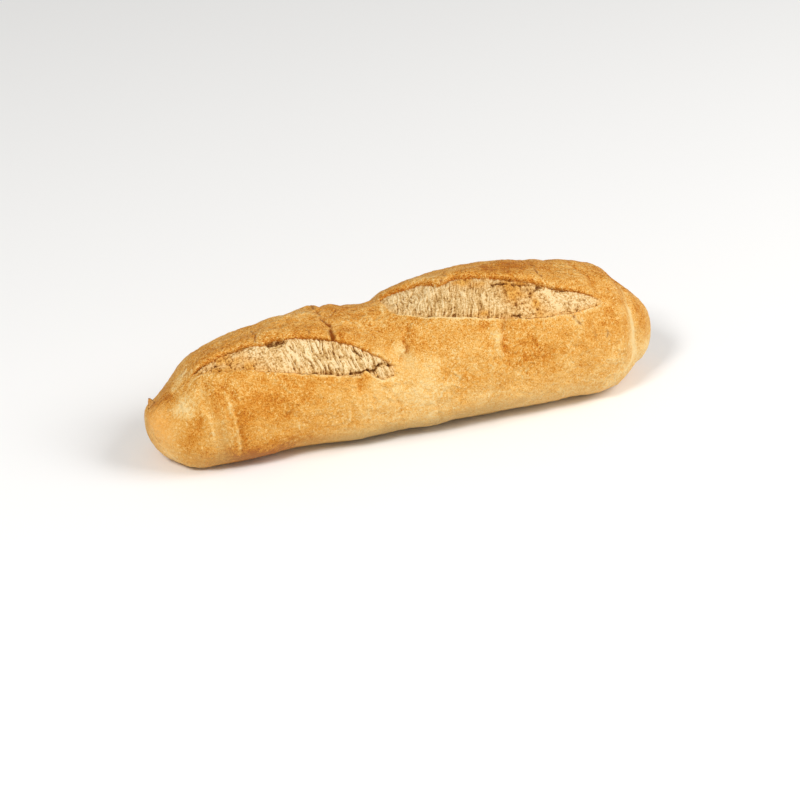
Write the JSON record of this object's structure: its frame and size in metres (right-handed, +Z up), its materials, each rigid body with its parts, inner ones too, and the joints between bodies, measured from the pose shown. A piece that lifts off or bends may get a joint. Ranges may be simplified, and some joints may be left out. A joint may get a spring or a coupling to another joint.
{
  "type": "mini baguette",
  "caption": "Short crusty white loaf, blunt at both ends, with slanted slashes torn open along its crown and a flat base that it rests on.",
  "frame": {"origin": "on the surface that the loaf rests on, under the middle of its box", "axes": "+X along the loaf towards its broad end, +Y to its back, +Z up"},
  "size_m": [0.24, 0.0748, 0.0609],
  "materials": {
    "crust": "dry golden baked bread crust with a fine blistered grain, pale torn crumb in the slashes"
  },
  "bodies": {
    "root": {"loaf": "crust"}
  },
  "joints": []
}
